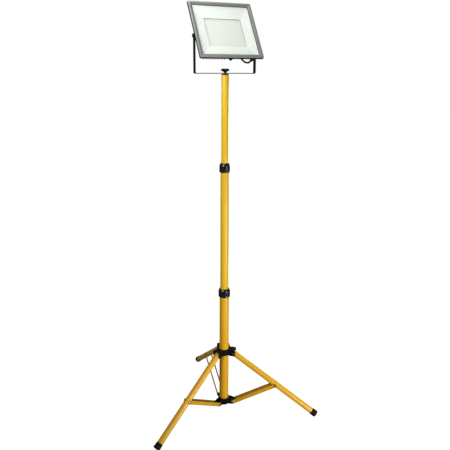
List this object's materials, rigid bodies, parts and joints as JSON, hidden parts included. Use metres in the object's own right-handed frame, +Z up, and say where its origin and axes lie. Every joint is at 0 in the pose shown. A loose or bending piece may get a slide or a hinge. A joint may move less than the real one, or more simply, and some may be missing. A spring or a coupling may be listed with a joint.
{
  "type": "tripod work light",
  "caption": "Slim square LED floodlight in a tilting U-bracket, clamped on a telescopic yellow mast with a folding braced tripod base.",
  "frame": {"origin": "on the floor, in the middle of the footprint's bounding box; the mast stands 15 mm to +X and 73 mm to -Y of it", "axes": "+Z up the mast, the lamp looks towards -Y, +X to the lamp's right seen from the front"},
  "size_m": [0.6318, 0.577, 1.4843],
  "materials": {
    "yellow_steel": "smooth semi-gloss powder coat",
    "black_plastic": "moulded, satin",
    "black_casting": "fine-textured black powder coat on die-cast aluminium",
    "grey_casting": "satin warm grey coat on aluminium",
    "black_steel": "black coated steel",
    "zinc_steel": "zinc-plated",
    "black_rubber": "matt",
    "white_reflector": "white satin",
    "white_board": "white solder mask with yellow LED chips",
    "clear_glass": "clear tempered"
  },
  "bodies": {
    "base": {"lower_tube": "yellow_steel", "bottom_spider": "black_plastic", "mast_end_plug": "black_plastic", "lower_lock_sleeve": "black_plastic", "spider_pin_left": "zinc_steel", "spider_pin_right": "zinc_steel", "spider_pin_rear": "zinc_steel"},
    "hub": {"leg_hub": "black_plastic", "hub_pin_left": "zinc_steel", "hub_pin_right": "zinc_steel", "hub_pin_rear": "zinc_steel"},
    "leg_left": {"leg_left": "yellow_steel", "foot_left": "black_rubber"},
    "leg_right": {"leg_right": "yellow_steel", "foot_right": "black_rubber"},
    "leg_rear": {"leg_rear": "yellow_steel", "foot_rear": "black_rubber"},
    "brace_left": {"brace_left_a": "yellow_steel", "brace_left_b": "yellow_steel", "rivet_left_a": "zinc_steel", "rivet_left_b": "zinc_steel"},
    "brace_right": {"brace_right_a": "yellow_steel", "brace_right_b": "yellow_steel", "rivet_right_a": "zinc_steel", "rivet_right_b": "zinc_steel"},
    "brace_rear": {"brace_rear_a": "yellow_steel", "brace_rear_b": "yellow_steel", "rivet_rear_a": "zinc_steel", "rivet_rear_b": "zinc_steel"},
    "mid_mast": {"mid_tube": "yellow_steel", "mid_tube_guide": "black_plastic", "upper_lock_sleeve": "black_plastic"},
    "top_mast": {"top_tube": "yellow_steel", "top_tube_guide": "black_plastic", "mast_cap": "black_plastic"},
    "lower_collar": {"lower_collar": "black_plastic"},
    "upper_collar": {"upper_collar": "black_plastic"},
    "yoke": {"yoke_bracket": "black_steel"},
    "clamp_knob": {"clamp_knob": "black_plastic", "clamp_stud": "zinc_steel"},
    "lamp": {"rear_housing": "black_casting", "front_bezel": "grey_casting", "front_glass": "clear_glass", "glass_seal": "black_rubber", "reflector": "white_reflector", "led_board": "white_board", "pivot_bolt_left": "black_steel", "pivot_bolt_right": "black_steel", "pivot_washer_left": "black_plastic", "pivot_washer_right": "black_plastic", "cable_gland": "black_plastic", "gland_nut": "black_plastic", "breather_plug": "black_plastic", "power_lead": "black_rubber", "lead_tail": "black_rubber", "lead_coil": "black_rubber", "coil_tie": "black_plastic", "plug_body": "black_rubber", "plug_pin_left": "zinc_steel", "plug_pin_right": "zinc_steel"}
  },
  "joints": [
    {"name": "hub_slide", "type": "slide", "parent": "base", "child": "hub", "axis": [0, 0, 1], "range_m": [0, 0.178]},
    {"name": "leg_left_hinge", "type": "hinge", "parent": "hub", "child": "leg_left", "pos_m": [-0.01756, -0.08851, 0.2343], "axis": [0.4226, -0.9063, 0], "range_deg": [0, 49.74]},
    {"name": "leg_right_hinge", "type": "hinge", "parent": "hub", "child": "leg_right", "pos_m": [0.04456, -0.09395, 0.2343], "axis": [0.5736, 0.8192, 0], "range_deg": [0, 49.74]},
    {"name": "leg_rear_hinge", "type": "hinge", "parent": "hub", "child": "leg_rear", "pos_m": [0.01821, -0.03744, 0.2343], "axis": [-0.9962, 0.0872, 0], "range_deg": [0, 49.74]},
    {"name": "brace_left_hinge", "type": "hinge", "parent": "base", "child": "brace_left", "pos_m": [-0.02028, -0.08978, 0.027], "axis": [-0.4226, 0.9063, 0], "range_deg": [0, 55.94]},
    {"name": "brace_right_hinge", "type": "hinge", "parent": "base", "child": "brace_right", "pos_m": [0.04702, -0.09567, 0.027], "axis": [-0.5736, -0.8192, 0], "range_deg": [0, 55.94]},
    {"name": "brace_rear_hinge", "type": "hinge", "parent": "base", "child": "brace_rear", "pos_m": [0.01847, -0.03445, 0.027], "axis": [0.9962, -0.0872, 0], "range_deg": [0, 55.94]},
    {"name": "mid_tube_slide", "type": "slide", "parent": "base", "child": "mid_mast", "axis": [0, 0, 1], "range_m": [-0.345, 0]},
    {"name": "top_tube_slide", "type": "slide", "parent": "mid_mast", "child": "top_mast", "axis": [0, 0, 1], "range_m": [-0.29, 0]},
    {"name": "lower_collar_twist", "type": "hinge", "parent": "base", "child": "lower_collar", "pos_m": [0.01507, -0.0733, 0.479], "axis": [0, 0, 1], "range_deg": [0, 90]},
    {"name": "upper_collar_twist", "type": "hinge", "parent": "mid_mast", "child": "upper_collar", "pos_m": [0.01507, -0.0733, 0.944], "axis": [0, 0, 1], "range_deg": [0, 90]},
    {"name": "yoke_pan", "type": "hinge", "parent": "top_mast", "child": "yoke", "pos_m": [0.01507, -0.0733, 1.2594], "axis": [0, 0, 1], "range_deg": [-180, 180]},
    {"name": "clamp_knob_turn", "type": "hinge", "parent": "top_mast", "child": "clamp_knob", "pos_m": [0.01507, -0.0733, 1.27], "axis": [0, 0, 1], "range_deg": [0, 360]},
    {"name": "lamp_tilt", "type": "hinge", "parent": "yoke", "child": "lamp", "pos_m": [0.01507, -0.0733, 1.375], "axis": [-1, 0, 0], "range_deg": [-32, 57]}
  ],
  "couplings": [
    {"joint": "leg_left_hinge", "follows": "hub_slide", "rad_per_m": 4.8723},
    {"joint": "leg_right_hinge", "follows": "hub_slide", "rad_per_m": 4.8723},
    {"joint": "leg_rear_hinge", "follows": "hub_slide", "rad_per_m": 4.8723},
    {"joint": "brace_left_hinge", "follows": "hub_slide", "rad_per_m": 5.4799},
    {"joint": "brace_right_hinge", "follows": "hub_slide", "rad_per_m": 5.4799},
    {"joint": "brace_rear_hinge", "follows": "hub_slide", "rad_per_m": 5.4799}
  ]
}
